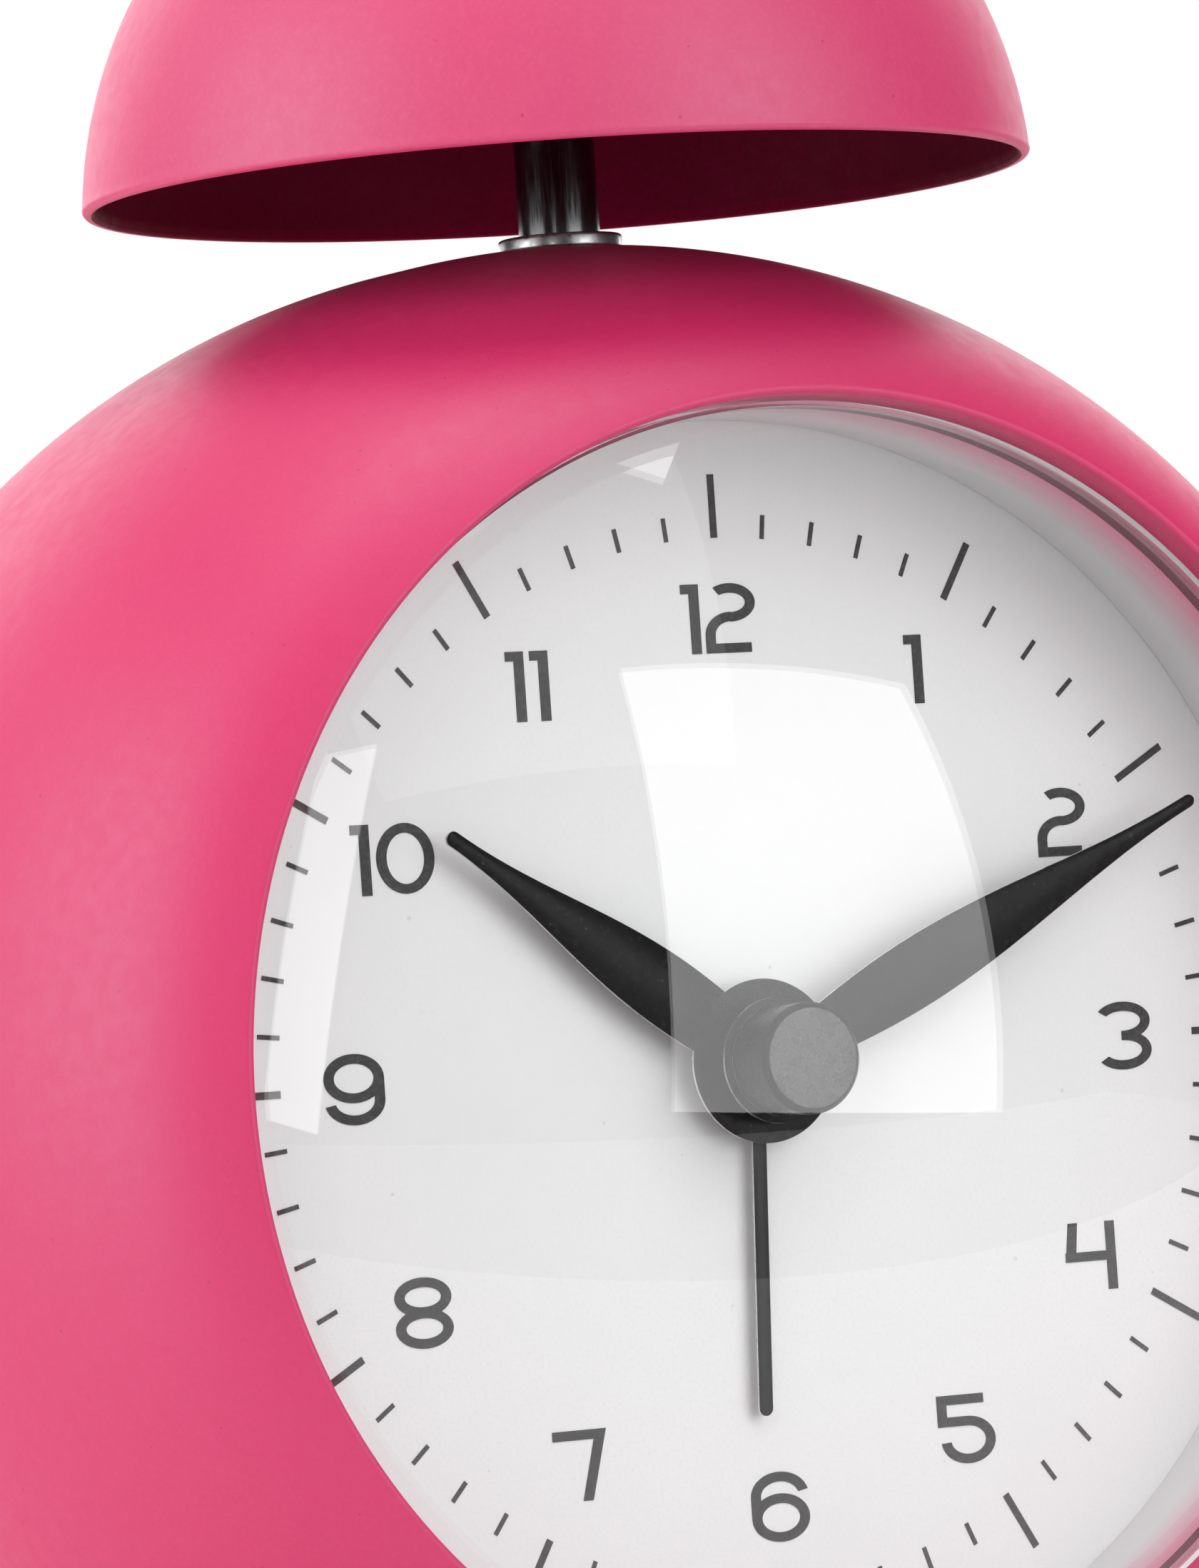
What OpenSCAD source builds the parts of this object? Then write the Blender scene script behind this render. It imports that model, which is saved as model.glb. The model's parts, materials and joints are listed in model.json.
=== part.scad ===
// Round single-bell alarm clock, 110 mm ball-shaped case, quartz alarm movement.
// Units are millimetres. +Z is up, the dial faces -Y, and the origin is the centre of
// the resting face under the case. "Forward" means towards -Y, measured from the case centre.

/* [Case] */
// Radius of the ball-shaped case
case_r = 55; // [50:0.5:60]
// Half width of the straight band between the two half balls
band_half = 2.2; // [1:0.1:4]
// Wall thickness of the pressed case
case_wall = 1; // [0.8:0.1:1.4]
// Radius of the round opening over the dial
aperture_r = 42.2; // [40:0.1:43]
// Radius of the round opening in the back of the case
rear_open_r = 46.5; // [46:0.1:47]
// Height of the case centre above the table
centre_z = 51.3; // [50:0.1:53]
// Radius of the rubber pad under the case
pad_r = 17; // [12:0.5:20]
// Thickness of the rubber pad
pad_t = 1; // [0.5:0.1:2]

/* [Dial] */
// Distance of the dial's face forward of the case centre
dial_fwd = 21; // [19:0.1:23]
// Radius of the printed minute track's inner edge
track_r = 33.9; // [32:0.1:35]
// Height of the numerals
numeral_h = 4.5; // [3.5:0.1:5.5]
// Distance of the numerals from the dial's centre
numeral_dist = 28.7; // [27:0.1:29]
// Outer radius of the lens dome
lens_dome_r = 70; // [65:1:120]
// Thickness of the lens
lens_t = 1.5; // [1:0.1:2]

/* [Hands] */
// Length of the hour hand from the dial's centre
hour_len = 26.9; // [22:0.1:30]
// Length of the minute hand from the dial's centre
minute_len = 36.2; // [32:0.1:38]
// Length of the alarm hand from the dial's centre
alarm_len = 22.8; // [18:0.1:26]
// Angle of the minute hand, clockwise from 12
minute_at = 65; // [0:1:359]
// Angle of the alarm hand, clockwise from 12
alarm_at = 183; // [0:1:359]
// Thickness of each hand
hand_t = 0.4; // [0.3:0.1:0.5]

/* [Bell] */
// Outer radius of the bell
bell_r = 31.75; // [28:0.25:34]
// Height of the bell's rim above the case centre
bell_rim = 59; // [58:0.1:61]
// Wall thickness of the bell
bell_wall = 0.9; // [0.7:0.1:1.2]
// Radius of the bell's post
post_r = 2.72; // [2.5:0.01:3]
// Distance of the bell's post forward of the case centre
post_fwd = 3.3; // [0:0.1:5]

/* [Back] */
// Distance of the flat back face behind the case centre
back_depth = 38; // [37.5:0.1:39]
// Radius of the two setting knobs
knob_r = 6.5; // [5:0.1:8]
// Height of the two setting knobs
knob_h = 8; // [6:0.5:10]
// Length of the alarm switch's travel
switch_travel = 5; // [3:0.5:6]

/* [Hidden] */
$fn = 96;

// Gap between parts that turn or slide on each other
run_gap = 0.05;
// Small overlap that joins two shapes of one solid
join = 0.2;

// Rolled lip of the two openings
lip_r = 1.3;
inner_ball_r = case_r - lip_r;
front_lip_c = aperture_r + lip_r;
front_lip_fwd = band_half + sqrt(pow(inner_ball_r, 2) - pow(front_lip_c, 2));
rear_lip_c = rear_open_r + lip_r;
rear_lip_back = band_half + sqrt(pow(inner_ball_r, 2) - pow(rear_lip_c, 2));
// Where the lens dome meets its short straight skirt
dome_base = front_lip_fwd - lip_r;
// Flat seats that the lens and the rear cover are clamped against
lens_seat = dome_base - 2.5;
cover_seat = rear_lip_back + lip_r + 0.2;

// Stack behind the lens: ring, dial and carrier share one outer radius
stack_r = 44.4;
ring_base_r = 41.4;
ring_top_r = 41.9;
dial_t = 0.8;
dial_r = 44.2;
carrier_t = 2;
carrier_back = dial_fwd - dial_t - carrier_t;
boss_len = 10;
// Widths of a figure's upright and level strokes, as shares of its height
stem_w = 0.16;
bar_w = 0.138;

// Heights of the hands above the dial
alarm_up = 0.9;
hour_up = 1.8;
minute_up = 3.6;
cap_top_up = 8.2;

// Movement housing, measured forward of the case centre
move_half = 28;
move_corner = 4;
move_wall = 1.5;
move_front = carrier_back;
move_split = 10;
move_rear = 2;
screw_at = 24.2;

// Gears: modules, tooth counts and places in the dial's plane
mod_a = 0.5;
mod_b = 0.48;
mod_c = 0.35;
mod_d = 0.3;
cannon_z = 12;
minute_z = 36;
minute_pinion_z = 10;
hour_z = 40;
alarm_z = 40;
idler_z = 25;
set_z = 12;
alarm_set_z = 10;
centre_gear_z = 60;
third_pinion_z = 8;
third_z = 64;
seconds_pinion_z = 8;
knob_dist = mod_a * (cannon_z + minute_z);
minute_wheel_at = polar(knob_dist / 2, -45);
time_set_at = polar(knob_dist, -45);
idler_at = polar(mod_b * (alarm_z + idler_z) / 2, 45);
alarm_set_at = polar(knob_dist, 45);
third_at = polar(mod_c * (centre_gear_z + third_pinion_z) / 2, 180);
seconds_at = third_at + [mod_d * (third_z + seconds_pinion_z) / 2, 0];
rotor_at = seconds_at + [6.4, -6.4];
pin_r = 0.45;
shaft_r = 1.5;

// Rear cover
cover_r = case_r - 0.4;
cover_wall = 2;
pillar_at = [0, 150, 210];
pillar_dist = 37.5;
pillar_r = 4.2;
screw_r = 1.45;
screw_head_back = 0;
// Battery bay, measured in the plane of the back face
bay_len = 54;
bay_h = 16;
bay_y = -13;
bay_depth = 18.2;
bay_wall = 1.6;
cell_r = 7.1;
cell_len = 49.3;
cell_back = back_depth - 2.2 - cell_r;
door_len = 57;
door_top = -3.9;
door_axis_y = -21.6;
door_t = 1.6;
door_axis_back = back_depth - door_t / 2;
switch_y = 27;

// Bell and striker, heights measured from the case centre
bell_centre = bell_rim - 1.7;
collar_r = 4.15;
collar_seat = case_r - 0.3;
collar_top = collar_seat + 1;
washer_low = collar_seat - case_wall - 0.5;
post_low = 46.5;
post_bore = 1.6;
shoulder = 65;
plate_t = 1.2;
plate_top = shoulder + plate_t;
bell_inside = bell_r - bell_wall;
post_top = bell_centre + bell_inside - 1;
boss_low = post_top - 4;
motor_at = [-2, -11.5];
motor_r = 5;
motor_h = 7;
cam_r = 2;
cam_throw = 0.7;
hammer_pivot = [-11, -3];
hammer_tail = [-6.2, -12];
arm_low = plate_top + motor_h + 0.6;
arm_t = 1.4;
arm_w = 1.4;
head_at = [-17.1, 13.5];
head_r = 2.2;

// A point at a distance and a clock angle (clockwise from 12)
function polar(r, a) = [r * sin(a), r * cos(a)];

// Turn of a wheel that sets its teeth in the gaps of the wheel it meshes with
function mesh_turn(turn, z, z_next, a) = a + 180 - 180 / z_next + (a - turn) * z / z_next;
minute_wheel_turn = mesh_turn(0, cannon_z, minute_z, -45);
hour_turn = mesh_turn(minute_wheel_turn, minute_pinion_z, hour_z, 135);
time_set_turn = mesh_turn(minute_wheel_turn, minute_z, set_z, -45);
third_turn = mesh_turn(0, centre_gear_z, third_pinion_z, 180);
seconds_turn = mesh_turn(0, third_z, seconds_pinion_z, 90);
idler_turn = mesh_turn(0, alarm_z, idler_z, 45);
alarm_set_turn = mesh_turn(idler_turn, idler_z, alarm_set_z, 45);

// Places children in the dial's plane: local +Z points forward, +Y up
module front(f) {
    translate([0, -f, centre_z]) rotate([90, 0, 0]) children();
}

// Places children on the bell's axis at a height above the case centre
module on_post(h) {
    translate([0, -post_fwd, centre_z + h]) children();
}

module tube(r_out, r_in, h) {
    difference() {
        cylinder(r = r_out, h = h);
        translate([0, 0, -1]) cylinder(r = r_in, h = h + 2);
    }
}

// Plate with rounded corners, centred
module rounded_plate(w, d, r, h) {
    translate([0, 0, h / 2]) {
        cube([w - 2 * r, d, h], center = true);
        cube([w, d - 2 * r, h], center = true);
    }
    for (sx = [-1, 1], sy = [-1, 1])
        translate([sx * (w / 2 - r), sy * (d / 2 - r), 0]) cylinder(r = r, h = h);
}

// Two half balls joined by a short straight band
module ball(r) {
    translate([0, -band_half, centre_z]) sphere(r = r);
    translate([0, band_half, centre_z]) sphere(r = r);
    front(-band_half) cylinder(r = r, h = 2 * band_half);
}

// Ring of round section, at a forward distance
module bead(f, r) {
    front(f) rotate_extrude() translate([r, 0]) circle(r = lip_r, $fn = 48);
}

// Spur gear with plain sloping teeth that clear their neighbour's
module gear(mod, z, h) {
    pitch_r = mod * z / 2;
    root_r = pitch_r - mod * 1.1;
    tip_r = pitch_r + mod * 0.75;
    half_root = 360 / z * 0.24;
    half_tip = 360 / z * 0.10;
    linear_extrude(h) polygon([for (i = [0 : z - 1], k = [0 : 3])
        let (a = i * 360 / z + [-half_root, -half_tip, half_tip, half_root][k])
        (k == 0 || k == 3 ? root_r : tip_r) * [sin(a), cos(a)]]);
}

// Hex nut with a plain bore
module hex_nut(across, bore, h) {
    difference() {
        cylinder(r = across / sqrt(3), h = h, $fn = 6);
        translate([0, 0, -1]) cylinder(r = bore, h = h + 2);
    }
}

// ---- Case ----

module case_shell() {
    lip_angle = atan(front_lip_c / (front_lip_fwd - band_half)) + 0.15;
    rear_angle = atan(rear_lip_c / (rear_lip_back - band_half)) + 0.15;
    cone = case_r + 5;
    flat_z = pad_t;
    color([0.87, 0.22, 0.45]) difference() {
        union() {
            difference() {
                ball(case_r);
                difference() {
                    ball(case_r - case_wall);
                    translate([0, 0, flat_z + case_wall - 20]) cube([90, 90, 40], center = true);
                }
                front(band_half) cylinder(r1 = 0, r2 = cone * tan(lip_angle), h = cone);
                front(-band_half) rotate([180, 0, 0])
                    cylinder(r1 = 0, r2 = cone * tan(rear_angle), h = cone);
            }
            bead(front_lip_fwd, front_lip_c);
            bead(-rear_lip_back, rear_lip_c);
            front(0) rotate_extrude() polygon([
                [aperture_r, front_lip_fwd], [aperture_r, lens_seat],
                [aperture_r + case_wall, lens_seat], [aperture_r + case_wall, dome_base],
                [aperture_r + 2.7, dome_base], [aperture_r + 2.7, front_lip_fwd]]);
            front(-cover_seat) tube(rear_open_r + 1.9, rear_open_r, lip_r + 0.2);
        }
        translate([0, 0, flat_z - 20]) cube([90, 90, 40], center = true);
        on_post(post_low) cylinder(r = post_r + 0.1, h = 12);
        on_post(collar_seat) cylinder(r = collar_r + 0.15, h = 5);
    }
}

module base_pad() {
    color([0.15, 0.15, 0.16]) cylinder(r = pad_r, h = pad_t);
}

// ---- Lens, dial and carrier ----

// Dome on a short skirt, with a flange round the skirt's foot
module lens() {
    dome_edge = aperture_r - 0.3;
    dome_c = dome_base - sqrt(pow(lens_dome_r, 2) - pow(dome_edge, 2));
    foot = lens_seat - lens_t;
    color([0.85, 0.9, 0.95, 0.35]) {
        front(foot) tube(stack_r, dome_edge - lens_t, lens_t);
        front(foot) tube(dome_edge, dome_edge - lens_t, dome_base - foot);
        difference() {
            front(dome_c) sphere(r = lens_dome_r, $fn = 180);
            front(dome_c) sphere(r = lens_dome_r - lens_t, $fn = 180);
            front(dome_base - lens_t - 200) cylinder(r = 100, h = 200);
            front(dome_base - lens_t - 1) tube(100, dome_edge, 60);
        }
    }
}

// Slightly flared ring between the dial and the lens
module dial_ring() {
    top = lens_seat - lens_t;
    color([0.92, 0.92, 0.93]) front(0) rotate_extrude() polygon([
        [ring_base_r, dial_fwd], [stack_r, dial_fwd], [stack_r, top], [ring_top_r, top]]);
}

module dial_plate() {
    color([0.95, 0.95, 0.94]) front(dial_fwd - dial_t) tube(dial_r, 3.9, dial_t);
}

// Straight stroke between two points
module line_stroke(a, b, w) {
    d = b - a;
    translate(a) rotate(atan2(d[1], d[0])) translate([0, -w / 2]) square([norm(d), w]);
}

// Bar between two corners, for a figure one unit high
module bar(x0, y0, x1, y1) {
    translate([x0, y0]) square([x1 - x0, y1 - y0]);
}

// Points on an ellipse between two angles, anticlockwise from +X
function oval(rx, ry, a0, a1) =
    let (steps = ceil(abs(a1 - a0) / 10))
    [for (i = [0 : steps]) let (a = a0 + (a1 - a0) * i / steps) [rx * cos(a), ry * sin(a)]];

// Oval pen stroke, wider where it runs upright, centred on a point
module oval_stroke(at, rx, ry, a0, a1) {
    translate(at) polygon(concat(oval(rx, ry, a0, a1), oval(rx - stem_w, ry - bar_w, a1, a0)));
}

module oval_ring(at, rx, ry) {
    translate(at) difference() {
        polygon(oval(rx, ry, 0, 350));
        polygon(oval(rx - stem_w, ry - bar_w, 0, 350));
    }
}

// One wide sans-serif figure, one unit high and centred on the origin
module figure(n) {
    if (n == 0) oval_ring([0, 0], 0.46, 0.5);
    if (n == 1) {
        bar(-0.013, -0.5, 0.147, 0.5);
        bar(-0.147, 0.5 - bar_w, 0.147, 0.5);
    }
    if (n == 2) {
        oval_stroke([0, 0.222], 0.422, 0.278, -90, 128);
        oval_stroke([0, -0.244], 0.422, 0.333, 90, 180);
        bar(-0.422, -0.5, stem_w - 0.422, -0.24);
        bar(-0.422, -0.5, 0.324, bar_w - 0.5);
    }
    if (n == 3) {
        oval_stroke([-0.044, 0.2155], 0.48, 0.2845, -90, 147);
        oval_stroke([-0.044, -0.2155], 0.48, 0.2845, -147, 90);
        bar(-0.067, -0.069, -0.03, 0.069);
    }
    if (n == 4) {
        polygon([[-0.444, -0.069], [-0.275, -0.069], [-0.213, 0.5], [-0.37, 0.5]]);
        bar(-0.444, -0.069, 0.3, 0.069);
        bar(0.26, -0.5, 0.26 + stem_w, 0.5);
    }
    if (n == 5) {
        bar(-0.478, 0.5 - bar_w, 0.311, 0.5);
        bar(-0.478, 0.047, stem_w - 0.478, 0.45);
        bar(-0.478, 0.047, 0.03, 0.047 + bar_w);
        oval_stroke([0.022, -0.1575], 0.456, 0.3425, -175, 90);
    }
    if (n == 6) {
        oval_ring([0, -0.155], 0.475, 0.345);
        oval_stroke([0, 0.155], 0.475, 0.345, 12, 180);
        bar(-0.475, -0.155, stem_w - 0.475, 0.16);
    }
    if (n == 7) {
        bar(-0.433, 0.5 - bar_w, 0.4, 0.5);
        polygon([[0, -0.5], [0.16, -0.5], [0.433, 0.5], [0.267, 0.5]]);
    }
    if (n == 8) {
        oval_ring([0, 0.222], 0.45, 0.278);
        oval_ring([0, -0.218], 0.455, 0.282);
    }
    if (n == 9) rotate(180) figure(6);
}

module numeral(n) {
    if (n < 10) figure(n);
    else {
        translate([[-0.509, -0.196, -0.469][n - 10], 0]) figure(1);
        translate([[0.193, 0.196, 0.18][n - 10], 0]) figure(n - 10);
    }
}

module dial_print() {
    ink = 0.06;
    color([0.2, 0.2, 0.2]) front(dial_fwd) {
        for (i = [0 : 59]) rotate(-6 * i) {
            hour = i % 5 == 0;
            w = hour ? 0.48 : 0.3;
            translate([-w / 2, track_r, 0]) cube([w, hour ? 4.1 : 1.55, ink]);
        }
        for (n = [1 : 12]) translate(polar(numeral_dist, 30 * n))
            linear_extrude(ink) scale(numeral_h) numeral(n);
    }
}

module dial_carrier() {
    color([0.25, 0.25, 0.27]) difference() {
        union() {
            front(carrier_back) cylinder(r = stack_r, h = carrier_t);
            for (a = pillar_at) front(carrier_back - boss_len)
                translate(polar(pillar_dist, a)) cylinder(r = 3.6, h = boss_len + join);
        }
        front(carrier_back - 1) cylinder(r = 6, h = carrier_t + 2);
        for (a = pillar_at) front(carrier_back - boss_len - 1)
            translate(polar(pillar_dist, a)) cylinder(r = screw_r + run_gap, h = boss_len + 1);
        for (sx = [-1, 1], sy = [-1, 1]) front(carrier_back - 1)
            translate([sx * screw_at, sy * screw_at, 0]) cylinder(r = 1.2, h = 2.6);
    }
}

// ---- Hands ----

// Half width of a leaf-shaped hand at a distance from the centre
function leaf_half(r, root, wide_at, len, w_root, w_max, w_tip) =
    r < wide_at
    ? w_root + (w_max - w_root) * sin(90 * (r - root) / (wide_at - root))
    : w_tip + (w_max - w_tip) * (1 + cos(180 * (r - wide_at) / (len - w_tip - wide_at))) / 2;

module leaf(root, wide_at, len, w_root, w_max, w_tip) {
    steps = 22;
    end = len - w_tip;
    side = [for (i = [0 : steps]) let (r = root + (end - root) * i / steps)
        [leaf_half(r, root, wide_at, len, w_root, w_max, w_tip), r]];
    back = [for (i = [steps : -1 : 0]) [-side[i][0], side[i][1]]];
    polygon(concat(side, back));
    translate([0, end]) circle(r = w_tip, $fn = 32);
}

hour_at = 300 + minute_at / 12;

module hour_hand() {
    color([0.06, 0.06, 0.07]) front(dial_fwd + hour_up) rotate(-hour_at) linear_extrude(hand_t)
        difference() {
            union() {
                circle(r = 5.3);
                leaf(3, 8, hour_len, 2.1, 2.35, 0.5);
            }
            circle(r = 1.95);
        }
}

module minute_hand() {
    color([0.06, 0.06, 0.07]) front(dial_fwd + minute_up) rotate(-minute_at) linear_extrude(hand_t)
        difference() {
            union() {
                circle(r = 4.05);
                leaf(3, 12, minute_len, 1.6, 2.25, 0.42);
            }
            circle(r = 1.2);
        }
}

module alarm_hand() {
    half = 0.5;
    color([0.12, 0.12, 0.13]) front(dial_fwd + alarm_up) rotate(-alarm_at) linear_extrude(0.3)
        difference() {
            union() {
                circle(r = 4.3);
                translate([-half, 0]) square([2 * half, alarm_len - half]);
                translate([0, alarm_len - half]) circle(r = half, $fn = 32);
            }
            circle(r = 2.6);
        }
}

module hand_cap() {
    cap_r = 3.6;
    chamfer = 0.35;
    h = cap_top_up - minute_up - hand_t;
    color([0.1, 0.1, 0.11]) front(dial_fwd + minute_up + hand_t) rotate(-minute_at) difference() {
        union() {
            cylinder(r = cap_r, h = h - chamfer);
            translate([0, 0, h - chamfer]) cylinder(r1 = cap_r, r2 = cap_r - chamfer, h = chamfer);
        }
        translate([0, 0, -1]) cylinder(r = 1.2, h = 2.5);
    }
}

// ---- Gears of the movement ----

// Wheel with a bore, at a forward distance, its teeth turned clockwise by an angle
module wheel(f, at, mod, z, h, bore, turn = 0) {
    front(f) translate(at) rotate(-turn) difference() {
        gear(mod, z, h);
        translate([0, 0, -1]) cylinder(r = bore, h = h + 2);
    }
}

module minute_arbor() {
    color([0.85, 0.7, 0.35]) {
        wheel(11.8, [0, 0], mod_a, cannon_z, 1.4, 0.5);
        front(9) cylinder(r = 1.2, h = dial_fwd + minute_up + hand_t + 1.5 - 9);
        front(3.6) cylinder(r = 0.8, h = 6);
    }
}

module centre_wheel() {
    color([0.9, 0.9, 0.85]) {
        wheel(10, [0, 0], mod_c, centre_gear_z, 0.8, 1.2);
        front(10.8) tube(2.2, 1.2, 0.8);
    }
}

// Wheel with a tube that reaches forward through the dial and carries a hand
module tube_wheel(f, mod, z, r_tube, bore, end_f, turn = 0) {
    front(f) difference() {
        union() {
            rotate(-turn) gear(mod, z, 1);
            cylinder(r = r_tube, h = end_f - f);
        }
        translate([0, 0, -1]) cylinder(r = bore, h = end_f - f + 2);
    }
}

module hour_wheel() {
    color([0.9, 0.88, 0.8])
        tube_wheel(13.7, mod_b, hour_z, 1.95, 1.2 + run_gap, dial_fwd + hour_up + hand_t + 0.3, hour_turn);
}

module alarm_wheel() {
    color([0.85, 0.85, 0.9])
        tube_wheel(15.3, mod_b, alarm_z, 2.6, 1.95 + run_gap, dial_fwd + alarm_up + 0.5);
}

module minute_wheel() {
    color([0.9, 0.9, 0.85]) {
        wheel(12, minute_wheel_at, mod_a, minute_z, 1, pin_r + run_gap, minute_wheel_turn);
        wheel(12.8, minute_wheel_at, mod_b, minute_pinion_z, 2.1, pin_r + run_gap, minute_wheel_turn);
    }
}

module third_wheel() {
    color([0.9, 0.88, 0.8]) {
        wheel(8.6, third_at, mod_d, third_z, 0.8, pin_r + run_gap);
        wheel(9.2, third_at, mod_c, third_pinion_z, 1.8, pin_r + run_gap, third_turn);
    }
}

module seconds_wheel() {
    color([0.85, 0.85, 0.9]) {
        wheel(7, seconds_at, 0.25, 60, 0.8, pin_r + run_gap);
        wheel(7.6, seconds_at, mod_d, seconds_pinion_z, 2, pin_r + run_gap, seconds_turn);
    }
}

module rotor() {
    color([0.3, 0.3, 0.33]) {
        front(4.8) translate(rotor_at) tube(2.8, pin_r + run_gap, 1.6);
        wheel(6.2, rotor_at, 0.25, 7, 1.9, pin_r + run_gap);
    }
}

module alarm_idler() {
    color([0.85, 0.85, 0.9]) wheel(15.1, idler_at, mod_b, idler_z, 1.4, pin_r + run_gap, idler_turn);
}

module wheel_pins() {
    low = move_rear + move_wall;
    color([0.75, 0.76, 0.78]) {
        for (at = [minute_wheel_at, third_at, seconds_at, rotor_at, idler_at])
            front(low) translate(at) cylinder(r = pin_r, h = move_front - move_wall - low, $fn = 24);
    }
}

module time_set_shaft() {
    color([0.88, 0.88, 0.86]) {
        wheel(11.8, time_set_at, mod_a, set_z, 1.4, 0.5, time_set_turn);
        front(-back_depth - 5) translate(time_set_at) cylinder(r = shaft_r, h = 11.9 + back_depth + 5);
    }
}

module alarm_set_shaft() {
    color([0.88, 0.88, 0.86]) {
        wheel(15, alarm_set_at, mod_b, alarm_set_z, 1.6, 0.5, alarm_set_turn);
        front(-back_depth - 5) translate(alarm_set_at) cylinder(r = shaft_r, h = 15.1 + back_depth + 5);
    }
}

// Setting knob with a grooved grip, pressed on the end of its shaft
module set_knob(at) {
    grooves = 20;
    lift = 0.6;
    front(-back_depth - lift - knob_h) translate(at) difference() {
        union() {
            cylinder(r = knob_r, h = knob_h - 1.5);
            translate([0, 0, knob_h - 1.5]) cylinder(r = 3.2, h = 1.5);
        }
        for (i = [0 : grooves - 1]) rotate(i * 360 / grooves)
            translate([knob_r + 0.15, 0, -1]) cylinder(r = 0.5, h = knob_h - 1.2, $fn = 24);
        translate([0, 0, knob_h + lift - 5]) cylinder(r = shaft_r, h = 6);
    }
}

module time_set_knob() {
    color([0.15, 0.15, 0.16]) set_knob(time_set_at);
}

module alarm_set_knob() {
    color([0.15, 0.15, 0.16]) set_knob(alarm_set_at);
}

// ---- Movement housing and electrics ----

module movement_front() {
    depth = move_front - move_split;
    inner = 2 * (move_half - move_wall);
    color([0.3, 0.3, 0.32]) difference() {
        union() {
            difference() {
                front(move_split) rounded_plate(2 * move_half, 2 * move_half, move_corner, depth);
                front(move_split - 1)
                    rounded_plate(inner, inner, move_corner - move_wall, depth - move_wall + 1);
            }
            for (sx = [-1, 1], sy = [-1, 1]) front(move_split)
                translate([sx * screw_at, sy * screw_at, 0]) cylinder(r = 2.8, h = depth - join);
            front(move_front - join) cylinder(r = 3.6, h = dial_fwd + 0.4 - move_front + join);
        }
        front(move_split - 1) cylinder(r = 2.6 + run_gap, h = 20);
        for (sx = [-1, 1], sy = [-1, 1]) front(move_split - 1)
            translate([sx * screw_at, sy * screw_at, 0]) cylinder(r = 1.2, h = depth + 2);
    }
}

module movement_back() {
    depth = move_split - move_rear;
    inner = 2 * (move_half - move_wall);
    color([0.3, 0.3, 0.32]) difference() {
        union() {
            difference() {
                front(move_rear) rounded_plate(2 * move_half, 2 * move_half, move_corner, depth);
                front(move_rear + move_wall)
                    rounded_plate(inner, inner, move_corner - move_wall, depth);
            }
            for (sx = [-1, 1], sy = [-1, 1]) front(move_rear)
                translate([sx * screw_at, sy * screw_at, 0]) cylinder(r = 2.8, h = depth);
            for (at = [time_set_at, alarm_set_at]) front(move_rear)
                translate(at) cylinder(r = 3, h = depth - 0.5);
            front(move_rear) cylinder(r = 2.4, h = 4);
        }
        for (sx = [-1, 1], sy = [-1, 1]) front(move_rear - 1)
            translate([sx * screw_at, sy * screw_at, 0]) cylinder(r = 1.2, h = depth + 2);
        for (at = [time_set_at, alarm_set_at]) front(move_rear - 1)
            translate(at) cylinder(r = shaft_r + run_gap, h = depth + 2);
        front(move_rear + 1) cylinder(r = 0.8 + run_gap, h = 6);
    }
}

module movement_screws() {
    color([0.7, 0.71, 0.73]) for (sx = [-1, 1], sy = [-1, 1])
        front(move_rear - 1.4) translate([sx * screw_at, sy * screw_at, 0]) difference() {
            union() {
                cylinder(r = 2.2, h = 1.4);
                cylinder(r = 1.15, h = carrier_back + 1.2 - move_rear + 1.4);
            }
            translate([0, 0, 0.2]) cube([3, 0.6, 1.2], center = true);
            translate([0, 0, 0.2]) cube([0.6, 3, 1.2], center = true);
        }
}

module circuit_board() {
    color([0.1, 0.4, 0.2]) front(move_rear + move_wall) difference() {
        translate([-24, -18.5, 0]) cube([48, 14, 0.9]);
        for (at = [third_at, seconds_at, rotor_at])
            translate([at[0], at[1], -1]) cylinder(r = 1.2, h = 3);
    }
}

module coil() {
    coil_f = 6.1;
    coil_len = 22;
    color([0.72, 0.4, 0.2]) front(coil_f) translate([-20, -22.9, 0]) rotate([0, 90, 0]) {
        cylinder(r = 2.1, h = coil_len);
        for (end = [0, coil_len - 1]) translate([0, 0, end]) cylinder(r = 2.4, h = 1);
    }
}

module stator() {
    color([0.6, 0.61, 0.63]) front(5) difference() {
        union() {
            translate([2, -25, 0]) cube([12, 4.2, 1]);
            translate([rotor_at[0] - 5, -25, 0]) cube([8.6, 11, 1]);
        }
        translate([rotor_at[0], rotor_at[1], -1]) cylinder(r = 3.2, h = 3);
    }
}

module alarm_contact() {
    rise = 1.6;
    strip = 0.3;
    color([0.8, 0.65, 0.3]) front(move_rear + move_wall) translate([-8, -2.5, 0]) {
        cube([3, 4, strip]);
        translate([0, 4 - strip, 0]) cube([3, strip, rise]);
        translate([0, 4 - strip, rise - strip]) cube([3, 11, strip]);
    }
}

// ---- Back ----

// The flat-backed dome of the rear cover, solid out to a radius
module back_dome(r, deepest) {
    intersection() {
        translate([0, band_half, centre_z]) sphere(r = r);
        front(-deepest) cylinder(r = r, h = deepest - cover_seat);
    }
}

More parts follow.
